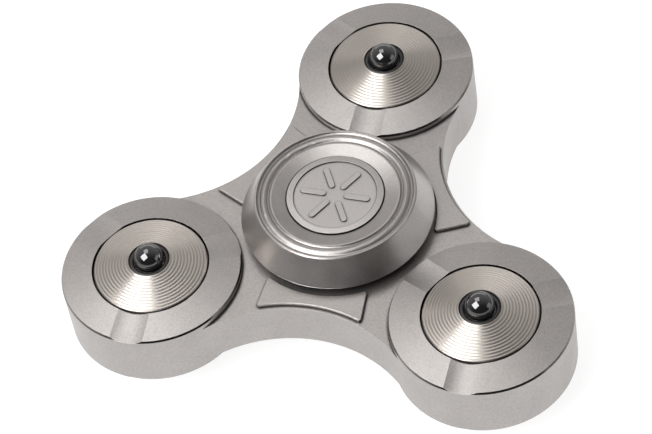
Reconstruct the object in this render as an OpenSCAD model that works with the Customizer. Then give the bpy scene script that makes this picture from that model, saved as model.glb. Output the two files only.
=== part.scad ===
// Three-lobed fidget spinner: two finger buttons on a small ball bearing,
// and a flat metal frame that turns round them and carries six weights.
// Millimetres. The origin is the middle of the bearing, on the spin axis
// and on the middle plane. +Z points up along the axis, and one lobe
// points along +Y.

/* [Frame] */
// Distance from the spin axis to the middle of each lobe
lobe_centre_radius = 23; // [22.5:0.1:27]
// Outside radius of a lobe
lobe_radius = 10.75; // [9.5:0.05:11.2]
// Height of the upright wall round a lobe
lobe_wall_height = 7.66; // [6.5:0.02:9]
// Distance from the spin axis to the waist of the web between two lobes
waist_radius = 13.6; // [13:0.1:15]
// Thickness of the web between the lobes
web_thickness = 5.92; // [5.6:0.02:6.2]
// How far a pad stands above the web
pad_rise = 0.5; // [0.2:0.05:0.7]
// Width of the steep bevel on the outer edge of a lobe
lobe_bevel = 0.15; // [0.05:0.01:0.3]
// Bevel round the top edge of a pad
pad_bevel = 0.08; // [0.05:0.01:0.2]

/* [Lobe ring] */
// Radius of the counterbore that takes a weight
weight_bore_radius = 7.0; // [6.6:0.05:7.4]
// How far the ring face rises from the lobe edge to the counterbore
ring_rise = 0.58; // [0:0.02:1]
// Width of a flute across the ring
flute_width = 4.2; // [2:0.1:6]
// Depth of a flute at its middle
flute_depth = 0.28; // [0.16:0.02:0.5]

/* [Weights and balls] */
// Gap between a weight's rim and its counterbore
weight_gap = 0.25; // [0.05:0.01:0.3]
// Height of a weight's hole rim above the middle plane
weight_peak = 5.55; // [5:0.05:6]
// Radius of the hole in the middle of a weight
weight_hole_radius = 2.46; // [2.3:0.02:2.7]
// Number of turned grooves on a weight's cone
weight_grooves = 11; // [4:1:16]
// Depth of each turned groove
weight_groove_depth = 0.04; // [0.01:0.005:0.08]
// Radius of a lobe ball
lobe_ball_radius = 1.785; // [1.6:0.005:1.9]
// How far a ball's middle stands above its hole rim
ball_rise = 0.2; // [0:0.05:0.5]

/* [Buttons] */
// Radius of a finger button
button_radius = 11.5; // [10:0.1:12]
// Clear space between a button and the web face
button_clearance = 0.91; // [0.7:0.01:1.2]
// Height of the upright band at the foot of a button
button_band = 0.78; // [0.3:0.02:1.2]
// Radius of the lip round a button's finger dish
lip_radius = 9.5; // [9.4:0.05:9.8]
// Height of the lip above the middle plane
lip_height = 7.88; // [7.6:0.02:8.4]
// Radius of the medallion let into the dish
medallion_radius = 5.74; // [5:0.02:6]
// Number of raised ribs on a medallion
medallion_ribs = 6; // [3:1:8]

/* [Bearing] */
// Bore radius of the ball bearing
bearing_bore_radius = 3.175; // [3.1:0.005:3.25]
// Outside radius of the ball bearing
bearing_outer_radius = 6.35; // [6.2:0.01:6.5]
// Width of the ball bearing
bearing_width = 4.762; // [4.4:0.002:4.8]
// Radius of a bearing ball
bearing_ball_radius = 0.794; // [0.7:0.002:0.8]
// Number of bearing balls
bearing_ball_count = 10; // [6:1:11]

/* [Display] */

/* [Hidden] */
$fn = 64;

fit_gap = 0.05;
titanium = [0.62, 0.60, 0.58];
turned_steel = [0.74, 0.73, 0.70];
bearing_steel = [0.80, 0.80, 0.82];
black_ceramic = [0.03, 0.03, 0.03];
black_rubber = [0.07, 0.07, 0.07];
cage_brass = [0.72, 0.58, 0.30];

lobe_count = 3;
lobe_step = 360 / lobe_count;
rear_angle = 90;
left_angle = rear_angle + lobe_step;
right_angle = left_angle + lobe_step;
lobe_edge = lobe_wall_height / 2;
web_half = web_thickness / 2;
pad_top = web_half + pad_rise;

// Web outline: an arc between each two lobes that all but touches both.
// It runs a little way into each lobe, so the two walls meet at an edge.
arc_overlap = 0.02;
half_step = lobe_step / 2;
lobe_along = lobe_centre_radius * cos(half_step);
waist_offset = lobe_radius - waist_radius;
arc_centre_radius = (pow(lobe_centre_radius, 2) - pow(waist_offset, 2)) / (2 * (lobe_along + waist_offset));
arc_radius = arc_centre_radius - waist_radius + arc_overlap;

// Pads on the web
pad_inner_radius = 11.6;
pad_edge_margin = 0.4;
pad_inner_half_width = 5.95;
pad_outer_half_width = 6.4;
pad_inner_y = 9.4;
pad_outer_y = 15.5;
pad_side_angle = atan((pad_outer_half_width - pad_inner_half_width) / (pad_outer_y - pad_inner_y));
pad_side_length = (pad_outer_y - pad_inner_y) / cos(pad_side_angle);
pad_corner_cut = 0.42;
pad_outer_corner_y = 14.32;
pad_inner_corner_y = 9.95;

// Lobe ring, flutes and counterbores
lobe_bevel_height = 1.7 * lobe_bevel;
bore_edge = lobe_edge + ring_rise;
ring_slope = atan(ring_rise / (lobe_radius - lobe_bevel - weight_bore_radius));
flute_radius = (pow(flute_width / 2, 2) + pow(flute_depth, 2)) / (2 * flute_depth);
flute_overrun = 0.6;
flute_inner = weight_bore_radius - flute_overrun;
flute_outer = lobe_radius + flute_overrun;
seat_height = 3.1;
core_bore_radius = 6.2;
bore_bevel = 0.08;

// Weights
weight_radius = weight_bore_radius - weight_gap;
weight_rim = bore_edge;
weight_shank_radius = core_bore_radius - fit_gap;
weight_half_gap = 0.05;
ball_fit = 0.015;
ball_bore_radius = lobe_ball_radius + ball_fit;
ball_height = weight_peak + ball_rise;
seal_fit = 0.015;
seal_radius = (ball_bore_radius + weight_hole_radius) / 2;
seal_section_radius = (weight_hole_radius - ball_bore_radius) / 2 - seal_fit;
seal_drop = 0.06;
seal_seat_gap = 0.02;
seal_height = weight_peak - seal_section_radius - seal_drop;
hole_floor = seal_height - seal_section_radius - seal_seat_gap;
hole_land = 0.1;
groove_start = weight_hole_radius + hole_land;
groove_margin = 0.12;
groove_pitch = (weight_radius - groove_margin - groove_start) / weight_grooves;
cone_slope = (weight_peak - weight_rim) / (weight_radius - weight_hole_radius);

// Frame hub
race_half = bearing_width / 2;
race_fit = 0.01;
race_bore_radius = bearing_outer_radius + race_fit;
shoulder_radius = 5.9;
ring_bore_radius = 7.15;
ring_gap = 0.04;
ring_sink = 0.06;
ring_top = web_half - ring_sink;
notch_width = 1.2;
notch_depth = 0.6;

// Bearing
pitch_radius = (bearing_bore_radius + bearing_outer_radius) / 2;
track_gap = 0.026;
track_radius = bearing_ball_radius + track_gap;
land_offset = 0.56;
inner_race_land = pitch_radius - land_offset;
outer_race_land = pitch_radius + land_offset;
race_bevel = 0.15;
cage_half_wall = 0.41;
cage_inner_radius = pitch_radius - cage_half_wall;
cage_outer_radius = pitch_radius + cage_half_wall;
cage_half = 1.15;
pocket_gap = 0.036;
pocket_radius = bearing_ball_radius + pocket_gap;

// Buttons
shim_thickness = 0.3;
boss_start = race_half + shim_thickness;
boss_radius = 3.9;
button_foot = web_half + button_clearance;
band_top = button_foot + button_band;
band_bevel = 0.05;
foot_inset = 0.9;
lip_land = 0.2;
lip_bevel = 0.14;
groove_base = lip_height - 0.13;
outer_groove_centre = 9.02;
outer_groove_radius = 0.3;
outer_groove_depth = 0.14;
inner_groove_centre = 7.94;
inner_groove_radius = 0.24;
inner_groove_depth = 0.12;
bead_centre = 8.46;
bead_section = 0.5;
bead_top = lip_height - 0.04;
dish_radius = 7.72;
dish_edge = lip_height - 0.07;
dish_floor = lip_height - 0.38;
medallion_gap = 0.14;
recess_floor = lip_height - 1.1;
medallion_edge = lip_height - 0.25;
medallion_crest = lip_height - 0.2;
medallion_crest_radius = 5.08;
medallion_field_radius = 4.98;
medallion_field = lip_height - 0.36;
rib_inner = 1.45;
rib_outer = 3.85;
rib_half_width = 0.33;
rib_rise = 0.16;
rib_top = medallion_field + rib_rise;
post_fit = 0.015;
post_radius = bearing_bore_radius - post_fit;
thread_radius = 1.5;
stud_radius = thread_radius - fit_gap;
stud_end = -2.9;
post_well = -3.2;

// Puts its children at one lobe, turned to face outward from the spin axis
module at_lobe(angle) {
  rotate([0, 0, angle])
    translate([lobe_centre_radius, 0, 0])
      children();
}

// Repeats its children at all the lobes
module each_lobe() {
  for (i = [0 : lobe_count - 1])
    at_lobe(rear_angle + i * lobe_step)
      children();
}

// Repeats its children midway between the lobes
module each_web() {
  for (i = [0 : lobe_count - 1])
    rotate([0, 0, rear_angle + half_step + i * lobe_step])
      children();
}

// Makes its children and their mirror image below the middle plane
module both_faces() {
  children();
  mirror([0, 0, 1])
    children();
}

// Turns an upper-face shape over, for the parts of the lower face
module lower_face() {
  mirror([0, 0, 1])
    children();
}

module web_profile() {
  difference() {
    polygon([
      for (i = [0 : 2 * lobe_count - 1])
        let (
          a = rear_angle + i * half_step,
          r = (i % 2 == 0) ? lobe_centre_radius : arc_centre_radius
        )
        [r * cos(a), r * sin(a)]
    ]);
    each_web()
      translate([arc_centre_radius, 0])
        circle(arc_radius);
  }
}

// One pad, drawn on the +X side
module pad_profile() {
  difference() {
    polygon([
      [pad_inner_y, -pad_inner_half_width],
      [pad_outer_y, -pad_outer_half_width],
      [pad_outer_y, pad_outer_half_width],
      [pad_inner_y, pad_inner_half_width]
    ]);
    circle(pad_inner_radius);
    translate([arc_centre_radius, 0])
      circle(arc_radius + pad_edge_margin);
    for (s = [-1, 1]) {
      pad_corner(pad_outer_corner_y, s * pad_outer_half_width, 1);
      pad_corner(pad_inner_corner_y, s * pad_inner_half_width, -1);
    }
  }
}

// Section of the cut that bevels an upper edge standing at x = 0, with
// the metal on the +X side
module bevel_section() {
  polygon([
    [-pad_bevel, pad_top - 2 * pad_bevel],
    [2 * pad_bevel, pad_top + pad_bevel],
    [-pad_bevel, pad_top + pad_bevel]
  ]);
}

// One pad on both faces of the web, with its top edges bevelled
module pad() {
  difference() {
    linear_extrude(height = 2 * pad_top, center = true)
      pad_profile();
    both_faces() {
      rotate_extrude()
        translate([pad_inner_radius, 0])
          bevel_section();
      translate([arc_centre_radius, 0, 0])
        rotate_extrude()
          translate([arc_radius + pad_edge_margin, 0])
            bevel_section();
      for (s = [0, 1])
        mirror([0, s, 0])
          translate([pad_inner_y, pad_inner_half_width, 0])
            rotate([0, 0, pad_side_angle])
              rotate([90, 0, 90])
                linear_extrude(height = pad_side_length)
                  mirror([1, 0])
                    bevel_section();
    }
  }
}

// Square turned half way, that takes the point off a pad's corner
module pad_corner(along, across, way) {
  translate([along + way * pad_corner_cut / 2, across])
    rotate(45)
      square(2 * pad_corner_cut, center = true);
}

// Solid of one lobe, with its sloping ring faces
module lobe_blank() {
  rotate_extrude()
    polygon([
      [0, -bore_edge],
      [weight_bore_radius - bore_bevel, -bore_edge],
      [lobe_radius - lobe_bevel, -lobe_edge],
      [lobe_radius, -lobe_edge + lobe_bevel_height],
      [lobe_radius, lobe_edge - lobe_bevel_height],
      [lobe_radius - lobe_bevel, lobe_edge],
      [weight_bore_radius - bore_bevel, bore_edge],
      [0, bore_edge]
    ]);
}

// Round-bottomed groove that follows the slope of the ring
module flute() {
  translate([lobe_radius - lobe_bevel, 0, lobe_edge])
    rotate([0, ring_slope, 0])
      translate([0, 0, flute_radius - flute_depth])
        rotate([0, -90, 0])
          translate([0, 0, lobe_radius - lobe_bevel - flute_outer])
            cylinder(r = flute_radius, h = flute_outer - flute_inner);
}

// Space for the two weights of a lobe
module weight_space() {
  cylinder(r = core_bore_radius, h = 4 * lobe_edge, center = true);
  both_faces()
    translate([0, 0, seat_height])
      cylinder(r = weight_bore_radius, h = 2 * lobe_edge);
}

module rotor_frame() {
  color(titanium)
    difference() {
      union() {
        linear_extrude(height = web_thickness, center = true)
          web_profile();
        each_web()
          pad();
        each_lobe()
          lobe_blank();
      }
      each_lobe() {
        weight_space();
        for (i = [0 : lobe_count - 1])
          rotate([0, 0, half_step + i * lobe_step])
            both_faces()
              flute();
      }
      cylinder(r = shoulder_radius, h = 2 * web_thickness, center = true);
      translate([0, 0, -race_half])
        cylinder(r = race_bore_radius, h = web_thickness);
      translate([0, 0, race_half])
        cylinder(r = ring_bore_radius, h = web_thickness);
    }
}

// A weight: sloping turned face, a stepped pocket for the seal and the
// ball, and a shank
module weight() {
  color(turned_steel)
    difference() {
      rotate_extrude()
        polygon(concat(
          [
            [0, weight_half_gap],
            [weight_shank_radius, weight_half_gap],
            [weight_shank_radius, seat_height],
            [weight_radius, seat_height],
            [weight_radius, weight_rim - bore_bevel],
            [weight_radius - bore_bevel, weight_rim]
          ],
          [
            for (i = [weight_grooves : -1 : 1])
              for (k = [0, 1])
                let (
                  r = groove_start + (i - k / 2) * groove_pitch,
                  z = weight_peak - (r - weight_hole_radius) * cone_slope
                )
                [r, z - k * weight_groove_depth]
          ],
          [
            [groove_start, weight_peak - (groove_start - weight_hole_radius) * cone_slope],
            [weight_hole_radius, weight_peak],
            [0, weight_peak]
          ]
        ));
      translate([0, 0, hole_floor])
        cylinder(r = weight_hole_radius, h = 2 * weight_peak);
      translate([0, 0, ball_height - lobe_ball_radius])
        cylinder(r = ball_bore_radius, h = 2 * weight_peak);
    }
}

// Polished ball held in a weight
module lobe_ball() {
  color(black_ceramic)
    translate([0, 0, ball_height])
      sphere(r = lobe_ball_radius);
}

// Black ring between a ball and its hole
module seal() {
  color(black_rubber)
    translate([0, 0, seal_height])
      rotate_extrude()
        translate([seal_radius, 0])
          circle(r = seal_section_radius);
}

module bearing_outer_race() {
  color(bearing_steel)
    rotate_extrude()
      difference() {
        polygon([
          [outer_race_land, -race_half],
          [bearing_outer_radius - race_bevel, -race_half],
          [bearing_outer_radius, race_bevel - race_half],
          [bearing_outer_radius, race_half - race_bevel],
          [bearing_outer_radius - race_bevel, race_half],
          [outer_race_land, race_half]
        ]);
        translate([pitch_radius, 0])
          circle(r = track_radius);
      }
}

module bearing_inner_race() {
  color(bearing_steel)
    rotate_extrude()
      difference() {
        polygon([
          [bearing_bore_radius, race_bevel - race_half],
          [bearing_bore_radius + race_bevel, -race_half],
          [inner_race_land, -race_half],
          [inner_race_land, race_half],
          [bearing_bore_radius + race_bevel, race_half],
          [bearing_bore_radius, race_half - race_bevel]
        ]);
        translate([pitch_radius, 0])
          circle(r = track_radius);
      }
}

module bearing_cage() {
  color(cage_brass)
    difference() {
      cylinder(r = cage_outer_radius, h = 2 * cage_half, center = true);
      cylinder(r = cage_inner_radius, h = 3 * cage_half, center = true);
      each_bearing_ball()
        rotate([0, 90, 0])
          cylinder(r = pocket_radius, h = 4 * pocket_radius, center = true);
    }
}

module each_bearing_ball() {
  for (i = [0 : bearing_ball_count - 1])
    rotate([0, 0, i * 360 / bearing_ball_count])
      translate([pitch_radius, 0, 0])
        children();
}

module bearing_balls() {
  color(bearing_steel)
    each_bearing_ball()
      sphere(r = bearing_ball_radius);
}

// Threaded ring over the bearing's outer race, with two spanner notches
module bearing_retaining_ring() {
  color(titanium)
    difference() {
      translate([0, 0, race_half])
        cylinder(r = ring_bore_radius - ring_gap, h = ring_top - race_half);
      cylinder(r = shoulder_radius, h = 2 * web_thickness, center = true);
      for (s = [-1, 1])
        translate([s * (shoulder_radius + notch_depth / 2), 0, race_half])
          cube([2 * notch_depth, notch_width, 4 * web_half], center = true);
    }
}

// Washer between the bearing's inner race and a button
module shim() {
  color(bearing_steel)
    difference() {
      translate([0, 0, race_half])
        cylinder(r = boss_radius, h = shim_thickness);
      cylinder(r = bearing_bore_radius + fit_gap, h = 2 * boss_start);
    }
}

// Section of a button from its boss to its finger dish
module button_section() {
  difference() {
    union() {
      polygon([
        [0, boss_start],
        [boss_radius, boss_start],
        [boss_radius, button_foot],
        [button_radius - foot_inset, button_foot],
        [button_radius, band_top - band_bevel],
        [button_radius - band_bevel, band_top],
        [lip_radius + lip_bevel, lip_height - lip_bevel],
        [lip_radius, lip_height],
        [lip_radius - lip_land, lip_height],
        [lip_radius - lip_land, groove_base],
        [dish_radius, groove_base],
        [dish_radius, dish_edge],
        [dish_radius - lip_land, dish_edge],
        [medallion_radius + medallion_gap, dish_floor],
        [medallion_radius + medallion_gap, recess_floor],
        [0, recess_floor]
      ]);
      translate([bead_centre, bead_top - bead_section])
        circle(r = bead_section);
    }
    translate([outer_groove_centre, groove_base - outer_groove_depth + outer_groove_radius])
      circle(r = outer_groove_radius);
    translate([inner_groove_centre, groove_base - inner_groove_depth + inner_groove_radius])
      circle(r = inner_groove_radius);
  }
}

module upper_button() {
  color(titanium)
    union() {
      rotate_extrude()
        button_section();
      translate([0, 0, stud_end])
        cylinder(r = stud_radius, h = boss_start - stud_end + fit_gap);
    }
}

module lower_button() {
  color(titanium)
    difference() {
      union() {
        mirror([0, 0, 1])
          rotate_extrude()
            button_section();
        translate([0, 0, -boss_start - fit_gap])
          cylinder(r = post_radius, h = boss_start + race_half);
      }
      translate([0, 0, post_well])
        cylinder(r = thread_radius, h = 2 * lip_height);
    }
}

// Inset disc with a rim, a sunk field and short ribs set like spokes
module medallion() {
  color(titanium) {
    rotate_extrude()
      polygon([
        [0, recess_floor],
        [medallion_radius, recess_floor],
        [medallion_radius, medallion_edge],
        [medallion_crest_radius, medallion_crest],
        [medallion_field_radius, medallion_crest],
        [medallion_field_radius, medallion_field],
        [0, medallion_field]
      ]);
    for (i = [0 : medallion_ribs - 1])
      rotate([0, 0, i * 360 / medallion_ribs])
        translate([0, 0, medallion_field - fit_gap])
          linear_extrude(height = rib_top - medallion_field + fit_gap)
            rib_profile();
  }
}

// One rib with round ends, along +X
module rib_profile() {
  translate([rib_inner, -rib_half_width])
    square([rib_outer - rib_inner, 2 * rib_half_width]);
  translate([rib_inner, 0])
    circle(r = rib_half_width);
  translate([rib_outer, 0])
    circle(r = rib_half_width);
}

rotor_frame();
at_lobe(rear_angle) weight();  // upper_weight_rear
at_lobe(left_angle) weight();  // upper_weight_left
at_lobe(right_angle) weight();  // upper_weight_right
lower_face() at_lobe(rear_angle) weight();  // lower_weight_rear
lower_face() at_lobe(left_angle) weight();  // lower_weight_left
lower_face() at_lobe(right_angle) weight();  // lower_weight_right
at_lobe(rear_angle) lobe_ball();  // upper_ball_rear
at_lobe(left_angle) lobe_ball();  // upper_ball_left
at_lobe(right_angle) lobe_ball();  // upper_ball_right
lower_face() at_lobe(rear_angle) lobe_ball();  // lower_ball_rear
lower_face() at_lobe(left_angle) lobe_ball();  // lower_ball_left
lower_face() at_lobe(right_angle) lobe_ball();  // lower_ball_right
at_lobe(rear_angle) seal();  // upper_seal_rear
at_lobe(left_angle) seal();  // upper_seal_left
at_lobe(right_angle) seal();  // upper_seal_right
lower_face() at_lobe(rear_angle) seal();  // lower_seal_rear
lower_face() at_lobe(left_angle) seal();  // lower_seal_left
lower_face() at_lobe(right_angle) seal();  // lower_seal_right
bearing_outer_race();
bearing_retaining_ring();
bearing_cage();
bearing_balls();
bearing_inner_race();
shim();  // upper_shim
lower_face() shim();  // lower_shim
upper_button();
lower_button();
medallion();  // upper_medallion
lower_face() medallion();  // lower_medallion
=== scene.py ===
"""Looks for the fidget spinner: materials, studio light, floor and camera.

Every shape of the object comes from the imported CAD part. Lengths are in
metres, and the frame's origin is the middle of the bearing.
"""

import math

import bpy
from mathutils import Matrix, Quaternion, Vector


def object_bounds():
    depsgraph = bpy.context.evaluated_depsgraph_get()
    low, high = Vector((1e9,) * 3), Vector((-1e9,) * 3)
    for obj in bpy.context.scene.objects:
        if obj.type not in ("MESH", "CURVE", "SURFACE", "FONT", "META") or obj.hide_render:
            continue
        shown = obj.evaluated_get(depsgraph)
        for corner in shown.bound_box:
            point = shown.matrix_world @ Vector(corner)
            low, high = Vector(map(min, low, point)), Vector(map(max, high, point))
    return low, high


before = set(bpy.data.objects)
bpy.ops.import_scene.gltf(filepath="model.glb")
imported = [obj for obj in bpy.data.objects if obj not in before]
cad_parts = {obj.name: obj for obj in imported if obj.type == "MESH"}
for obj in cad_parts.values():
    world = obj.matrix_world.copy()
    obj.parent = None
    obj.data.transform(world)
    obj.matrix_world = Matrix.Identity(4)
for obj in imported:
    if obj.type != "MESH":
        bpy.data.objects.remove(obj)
bounds_at_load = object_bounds()
MM = 0.001

# ---------------------------------------------------------------- helpers


def new_material(name):
    material = bpy.data.materials.new(name)
    material.use_nodes = True
    tree = material.node_tree
    shader = tree.nodes["Principled BSDF"]
    return material, tree, shader


def add(tree, kind, **settings):
    node = tree.nodes.new(kind)
    for key, value in settings.items():
        setattr(node, key, value)
    return node


def noise(tree, vector, scale, detail=2.0, roughness=0.5):
    node = add(tree, "ShaderNodeTexNoise")
    node.inputs["Scale"].default_value = scale
    node.inputs["Detail"].default_value = detail
    node.inputs["Roughness"].default_value = roughness
    tree.links.new(vector, node.inputs["Vector"])
    return node.outputs["Fac"]


def ramp(tree, value, start, end):
    """Takes the range start = (low, high) of a value to the range end."""
    node = add(tree, "ShaderNodeMapRange")
    node.inputs["From Min"].default_value = start[0]
    node.inputs["From Max"].default_value = start[1]
    node.inputs["To Min"].default_value = end[0]
    node.inputs["To Max"].default_value = end[1]
    tree.links.new(value, node.inputs["Value"])
    return node.outputs["Result"]


def math_node(tree, operation, first, second):
    node = add(tree, "ShaderNodeMath", operation=operation)
    for socket, value in zip(node.inputs, (first, second)):
        if isinstance(value, (int, float)):
            socket.default_value = value
        else:
            tree.links.new(value, socket)
    return node.outputs[0]


def mix_colour(tree, factor, first, second):
    node = add(tree, "ShaderNodeMix", data_type="RGBA")
    tree.links.new(factor, node.inputs["Factor"])
    for name, value in (("A", first), ("B", second)):
        socket = [s for s in node.inputs if s.name == name and s.type == "RGBA"][0]
        if isinstance(value, tuple):
            socket.default_value = (*value, 1.0)
        else:
            tree.links.new(value, socket)
    return [s for s in node.outputs if s.type == "RGBA"][0]


def scaled(colour, factor):
    return tuple(min(1.0, factor * c) for c in colour)


def bump(tree, height, strength, distance, normal=None):
    node = add(tree, "ShaderNodeBump")
    node.inputs["Strength"].default_value = strength
    node.inputs["Distance"].default_value = distance
    tree.links.new(height, node.inputs["Height"])
    if normal is not None:
        tree.links.new(normal, node.inputs["Normal"])
    return node.outputs["Normal"]


def rounded_edges(tree, radius):
    node = add(tree, "ShaderNodeBevel", samples=6)
    node.inputs["Radius"].default_value = radius
    return node.outputs["Normal"]


def object_coordinates(tree):
    return add(tree, "ShaderNodeTexCoord").outputs["Object"]


def surface(tree, shader, tone, rough, normal):
    tree.links.new(tone, shader.inputs["Base Color"])
    tree.links.new(rough, shader.inputs["Roughness"])
    tree.links.new(normal, shader.inputs["Normal"])


def give(material, *nodes):
    for node in nodes:
        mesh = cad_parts[node].data
        mesh.materials.clear()
        mesh.materials.append(material)


# ---------------------------------------------------------------- materials

RISING = (0.0, 1.0)
FALLING = (1.0, 0.0)
NOISE_MIDDLE = (0.3, 0.7)

# Tones of blasted metal, as shares of its own colour
SPECK_TONE = 0.72
RUBBED_TONE = 1.25
# Painted shade in creases and under overhangs
PAINTED_SHADE_TONE = 0.08
# Painted dark reflection on cut faces: their colour is darkened.
CUT_PAINTED_REFLECTION_TONE = 0.5

# How strongly specks, rubbing and painted shade cover the metal
SPECK_COVER = 0.6
RUBBED_COVER = 0.3
PAINTED_SHADE_COVER = 0.95

# Painted shade starts at the higher open share of the space around and is full at the lower
CREASE_OPENNESS = (0.58, 0.96)
DEEP_OPENNESS = (0.22, 0.6)
DEEP_REACH = 1.6 * MM

# Rubbing starts at the first cosine between the rounded and flat normals and is full at the second
EDGE_COSINE = (0.999, 0.93)

# The chamfer round a lobe rises this many times its width
CHAMFER_STEEPNESS = 1.7
CHAMFER_FACING = 1.0 / math.hypot(1.0, CHAMFER_STEEPNESS)
FACING_TOLERANCE = (0.04, 0.07)
CUT_ROUGHNESS = 0.15

CLOUD_SCALE = 90.0
CLOUD_RANGE = (0.35, 0.65)
SPECK_RANGE = (0.35, 0.62)
SMUDGE_SCALE = 260.0
GRAIN_STRENGTH = 0.5

# How far roughness wanders below and above its value
BLASTED_SPREAD = (-0.04, 0.05)
TURNED_SPREAD = (-0.03, 0.05)

# A piece's own coordinates run from 0 to 1 across it
PIECE_MIDDLE = (0.5, 0.5, 0.5)
WITHOUT_HEIGHT = (1.0, 1.0, 0.0)

CERAMIC_IOR = 2.1
HAZE_RANGE = (0.4, 0.8)
HAZE_ROUGHNESS = (0.03, 0.07)
BLOOM_ROUGHNESS = (0.32, 0.5)


def around(value, spread):
    return (value + spread[0], value + spread[1])


def hidden_from_light(tree, reach, openness):
    """1 where the open share of the space within reach is low, 0 where it is high."""
    node = add(tree, "ShaderNodeAmbientOcclusion", samples=8, only_local=False)
    node.inputs["Distance"].default_value = reach
    return ramp(tree, node.outputs["AO"], openness, FALLING)


def cut_faces(tree, facing):
    """1 on faces whose normal's Z part is near facing, up or down, else 0."""
    true_normal = add(tree, "ShaderNodeNewGeometry").outputs["True Normal"]
    parts = add(tree, "ShaderNodeSeparateXYZ")
    tree.links.new(true_normal, parts.inputs[0])
    height = math_node(tree, "ABSOLUTE", parts.outputs["Z"], 0.0)
    away = math_node(tree, "ABSOLUTE", math_node(tree, "SUBTRACT", height, facing), 0.0)
    return ramp(tree, away, FACING_TOLERANCE, FALLING)


def worn_edges(tree, edge_normal):
    """1 where the rounded-edge normal leaves the flat one, 0 elsewhere."""
    true_normal = add(tree, "ShaderNodeNewGeometry").outputs["True Normal"]
    node = add(tree, "ShaderNodeVectorMath", operation="DOT_PRODUCT")
    tree.links.new(edge_normal, node.inputs[0])
    tree.links.new(true_normal, node.inputs[1])
    return ramp(tree, node.outputs["Value"], EDGE_COSINE, RISING)


def blasted(name, colour, shade, roughness, grain, depth, edge_radius, reach, cut_facing=None):
    """Bead-blasted metal: fine grain, cloudy tone, rubbed edges, and painted shade in creases and under
    overhangs.

    Faces that look up or down by cut_facing were cut after the blasting, so they shine, and their colour is
    darkened as a painted dark reflection.
    """
    material, tree, shader = new_material(name)
    where = object_coordinates(tree)
    cloud = noise(tree, where, CLOUD_SCALE, detail=3.0)
    speck = noise(tree, where, grain, roughness=0.7)
    smudge = noise(tree, where, SMUDGE_SCALE, detail=4.0, roughness=0.6)
    edge = rounded_edges(tree, edge_radius)
    tone = mix_colour(tree, ramp(tree, cloud, CLOUD_RANGE, RISING), shade, colour)
    specks = ramp(tree, speck, SPECK_RANGE, (SPECK_COVER, 0.0))
    tone = mix_colour(tree, specks, tone, scaled(colour, SPECK_TONE))
    rubbed = math_node(tree, "MULTIPLY", worn_edges(tree, edge), RUBBED_COVER)
    tone = mix_colour(tree, rubbed, tone, scaled(colour, RUBBED_TONE))
    # Painted shade: the colour darkens where the space around is closed in, in creases and under overhangs.
    crease = hidden_from_light(tree, reach, CREASE_OPENNESS)
    deep = hidden_from_light(tree, DEEP_REACH, DEEP_OPENNESS)
    painted_shade = math_node(tree, "MULTIPLY", math_node(tree, "MAXIMUM", crease, deep), PAINTED_SHADE_COVER)
    tone = mix_colour(tree, painted_shade, tone, scaled(colour, PAINTED_SHADE_TONE))
    rough = ramp(tree, smudge, NOISE_MIDDLE, around(roughness, BLASTED_SPREAD))
    if cut_facing is not None:
        cut = cut_faces(tree, cut_facing)
        # Painted dark reflection: cut faces take a darker colour.
        tone = mix_colour(tree, cut, tone, scaled(colour, CUT_PAINTED_REFLECTION_TONE))
        uncut = math_node(tree, "SUBTRACT", 1.0, cut)
        rough = math_node(tree, "MAXIMUM", math_node(tree, "MULTIPLY", rough, uncut), CUT_ROUGHNESS)
        speck = math_node(tree, "MULTIPLY", speck, uncut)
    shader.inputs["Metallic"].default_value = 1.0
    surface(tree, shader, tone, rough, bump(tree, speck, GRAIN_STRENGTH, depth, normal=edge))
    return material


def distance_from_axis(tree):
    """Distance from the piece's own upright axis, as a vector along X for a noise."""
    middle = add(tree, "ShaderNodeVectorMath", operation="SUBTRACT")
    middle.inputs[1].default_value = PIECE_MIDDLE
    tree.links.new(add(tree, "ShaderNodeTexCoord").outputs["Generated"], middle.inputs[0])
    flat = add(tree, "ShaderNodeVectorMath", operation="MULTIPLY")
    flat.inputs[1].default_value = WITHOUT_HEIGHT
    tree.links.new(middle.outputs[0], flat.inputs[0])
    length = add(tree, "ShaderNodeVectorMath", operation="LENGTH")
    tree.links.new(flat.outputs[0], length.inputs[0])
    radius = add(tree, "ShaderNodeCombineXYZ")
    tree.links.new(length.outputs["Value"], radius.inputs["X"])
    return radius.outputs[0]


def turned(name, colour, dark, roughness, ring_scale):
    """Lathe-turned metal: fine rings about the piece's own middle, ring_scale per width of it."""
    material, tree, shader = new_material(name)
    rings = noise(tree, distance_from_axis(tree), ring_scale, detail=3.0, roughness=0.7)
    cloud = noise(tree, object_coordinates(tree), scale=200.0, detail=3.0)
    tone = mix_colour(tree, ramp(tree, rings, NOISE_MIDDLE, RISING), dark, colour)
    rough = ramp(tree, cloud, NOISE_MIDDLE, around(roughness, TURNED_SPREAD))
    shader.inputs["Metallic"].default_value = 1.0
    shader.inputs["Anisotropic"].default_value = 0.7
    shader.inputs["Anisotropic Rotation"].default_value = 0.25
    tangent = add(tree, "ShaderNodeTangent", direction_type="RADIAL", axis="Z")
    tree.links.new(tangent.outputs[0], shader.inputs["Tangent"])
    surface(tree, shader, tone, rough, bump(tree, cloud, strength=0.05, distance=0.004 * MM))
    return material


def polished_black(name):
    """Black ceramic with a little haze."""
    material, tree, shader = new_material(name)
    haze = noise(tree, object_coordinates(tree), scale=900.0, detail=4.0, roughness=0.6)
    tone = mix_colour(tree, haze, (0.004, 0.004, 0.005), (0.011, 0.011, 0.012))
    rough = ramp(tree, haze, HAZE_RANGE, HAZE_ROUGHNESS)
    shader.inputs["IOR"].default_value = CERAMIC_IOR
    surface(tree, shader, tone, rough, bump(tree, haze, strength=0.02, distance=0.01 * MM))
    return material


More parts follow.
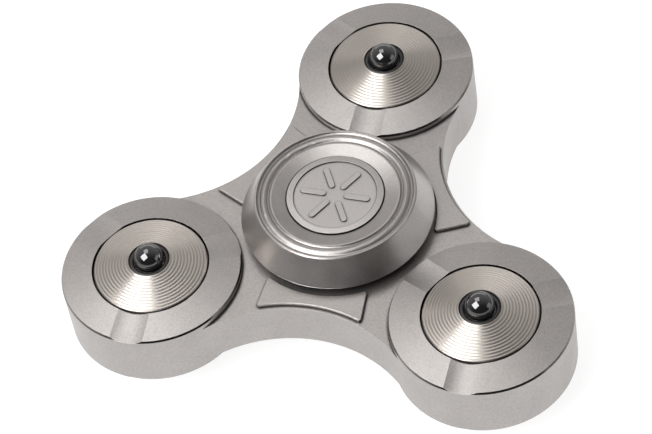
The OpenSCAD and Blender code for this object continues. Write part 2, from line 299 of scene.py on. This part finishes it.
def rubber(name):
    """Black rubber with a dull bloom."""
    material, tree, shader = new_material(name)
    bloom = noise(tree, object_coordinates(tree), scale=1500.0, detail=4.0, roughness=0.6)
    tone = mix_colour(tree, bloom, (0.010, 0.010, 0.010), (0.028, 0.027, 0.026))
    rough = ramp(tree, bloom, NOISE_MIDDLE, BLOOM_ROUGHNESS)
    surface(tree, shader, tone, rough, bump(tree, bloom, strength=0.3, distance=0.02 * MM))
    return material


FACES = ("upper", "lower")
LOBES = ("rear", "left", "right")


def lobe_nodes(piece):
    return [f"{face}_{piece}_{lobe}" for face in FACES for lobe in LOBES]


frame_metal = blasted(
    "blasted titanium", colour=(0.46, 0.435, 0.42), shade=(0.43, 0.405, 0.39), roughness=0.44,
    grain=4600.0, depth=0.035 * MM, edge_radius=0.05 * MM, reach=0.40 * MM, cut_facing=CHAMFER_FACING)
button_metal = blasted(
    "fine blasted titanium", colour=(0.47, 0.445, 0.43), shade=(0.44, 0.415, 0.40), roughness=0.32,
    grain=6500.0, depth=0.02 * MM, edge_radius=0.05 * MM, reach=0.3 * MM)
disc_metal = blasted(
    "matt titanium disc", colour=(0.53, 0.505, 0.49), shade=(0.50, 0.475, 0.46), roughness=0.40,
    grain=6500.0, depth=0.02 * MM, edge_radius=0.04 * MM, reach=0.3 * MM)
weight_metal = turned(
    "turned steel", colour=(0.505, 0.47, 0.435), dark=(0.445, 0.41, 0.375), roughness=0.33, ring_scale=60.0)
ball_black = polished_black("black ceramic")
seal_black = rubber("black rubber")
race_metal = turned(
    "ground bearing steel", colour=(0.66, 0.66, 0.67), dark=(0.56, 0.56, 0.57), roughness=0.16,
    ring_scale=90.0)
brass = blasted(
    "cage brass", colour=(0.62, 0.45, 0.20), shade=(0.52, 0.37, 0.16), roughness=0.32,
    grain=7000.0, depth=0.02 * MM, edge_radius=0.05 * MM, reach=0.3 * MM)

give(frame_metal, "rotor_frame", "bearing_retaining_ring")
give(button_metal, "upper_button", "lower_button")
give(disc_metal, "upper_medallion", "lower_medallion")
give(weight_metal, *lobe_nodes("weight"))
give(ball_black, *lobe_nodes("ball"))
give(seal_black, *lobe_nodes("seal"))
give(race_metal, "bearing_outer_race", "bearing_inner_race", "bearing_balls", "upper_shim", "lower_shim")
give(brass, "bearing_cage")

# ---------------------------------------------------------------- view

VIEW_AZIMUTH = 22.9
VIEW_ELEVATION = 51.7
VIEW_ROLL = -10.4
VIEW_DISTANCE = 0.3598
VIEW_AIM = Vector((-0.00255, 0.00214, 0.0))
LENS = 165.8
SENSOR_WIDTH = 36.0


def direction(azimuth, elevation):
    a, e = math.radians(azimuth), math.radians(elevation)
    return Vector((math.sin(a) * math.cos(e), -math.cos(a) * math.cos(e), math.sin(e)))


def face_object(item, out, turn):
    """Points a light or camera inward along out, turned about its own line of sight."""
    aim = (-out).to_track_quat("-Z", "Y")
    item.rotation_mode = "QUATERNION"
    item.rotation_quaternion = aim @ Quaternion((0, 0, 1), math.radians(turn))


# ---------------------------------------------------------------- floor

FLOOR_SIZE = 3.0
FLOOR_DARK = (0.25, 0.25, 0.25)
FLOOR_PALE = (0.27, 0.27, 0.27)
WHITE = (1.0, 1.0, 1.0, 1.0)

# The floor's own light falls from the first strength to the second between these radii
GLOW_RADII = (0.068, 0.14)
GLOW_STRENGTHS = (0.86, 0.08)


def glowing_floor(name):
    """Matt grey floor with painted light: it glows round the object, so that it comes out white there, even
    in the object's shadow.
    """
    material, tree, shader = new_material(name)
    where = object_coordinates(tree)
    tone = mix_colour(tree, noise(tree, where, scale=6.0), FLOOR_DARK, FLOOR_PALE)
    tree.links.new(tone, shader.inputs["Base Color"])
    shader.inputs["Roughness"].default_value = 0.9
    spread = add(tree, "ShaderNodeVectorMath", operation="LENGTH")
    tree.links.new(where, spread.inputs[0])
    # Painted light: the floor glows round the object.
    shader.inputs["Emission Color"].default_value = WHITE
    glow = ramp(tree, spread.outputs["Value"], GLOW_RADII, GLOW_STRENGTHS)
    tree.links.new(glow, shader.inputs["Emission Strength"])
    return material


lowest = bounds_at_load[0].z
bpy.ops.mesh.primitive_plane_add(size=FLOOR_SIZE, location=(0.0, 0.0, lowest))
floor = bpy.context.object
floor.name = "floor"
floor.data.materials.append(glowing_floor("glowing floor"))

# ---------------------------------------------------------------- light

# Where the studio turns from its far side to its near side, as a cosine to the view's heading
STUDIO_TURN = (-0.6, 0.6)


def panel(name, azimuth, elevation, distance, width, height, radiance, turn=0.0):
    """Rectangular soft light aimed at the object, its azimuth counted from the view's."""
    light = bpy.data.lights.new(name, "AREA")
    light.shape = "RECTANGLE"
    light.size = width
    light.size_y = height
    light.energy = radiance * math.pi * width * height
    lamp = bpy.data.objects.new(name, light)
    bpy.context.scene.collection.objects.link(lamp)
    out = direction(VIEW_AZIMUTH + azimuth, elevation)
    lamp.location = out * distance
    face_object(lamp, out, turn)


panel("key softbox", azimuth=-57.5, elevation=52.0, distance=0.60,
      width=0.45, height=0.45, radiance=6.8, turn=75.0)
panel("rear overhead sheet", azimuth=-150.0, elevation=70.0, distance=0.70,
      width=0.35, height=0.38, radiance=2.3, turn=-30.0)
panel("white background", azimuth=176.0, elevation=13.0, distance=0.90,
      width=1.20, height=0.26, radiance=0.95)
panel("right reflector", azimuth=70.0, elevation=10.0, distance=0.70,
      width=0.45, height=0.40, radiance=0.8)


def studio(name, far_side, near_side):
    """Surroundings that go from far_side beyond the object to near_side behind the camera."""
    world = bpy.data.worlds.new(name)
    world.use_nodes = True
    sky = world.node_tree
    toward = add(sky, "ShaderNodeVectorMath", operation="DOT_PRODUCT")
    toward.inputs[1].default_value = direction(VIEW_AZIMUTH, 0.0)
    sky.links.new(add(sky, "ShaderNodeTexCoord").outputs["Generated"], toward.inputs[0])
    near = ramp(sky, toward.outputs["Value"], STUDIO_TURN, RISING)
    tone = mix_colour(sky, near, far_side, near_side)
    sky.links.new(tone, sky.nodes["Background"].inputs["Color"])
    return world


bpy.context.scene.world = studio(
    "studio", far_side=(0.50, 0.488, 0.48), near_side=(0.04, 0.038, 0.036))

# ---------------------------------------------------------------- camera

camera_data = bpy.data.cameras.new("camera")
camera_data.lens = LENS
camera_data.sensor_width = SENSOR_WIDTH
camera_data.clip_start = 0.01
camera = bpy.data.objects.new("camera", camera_data)
bpy.context.scene.collection.objects.link(camera)
back = direction(VIEW_AZIMUTH, VIEW_ELEVATION)
camera.location = VIEW_AIM + back * VIEW_DISTANCE
face_object(camera, back, VIEW_ROLL)
bpy.context.scene.camera = camera
bpy.context.scene.view_settings.view_transform = "Standard"
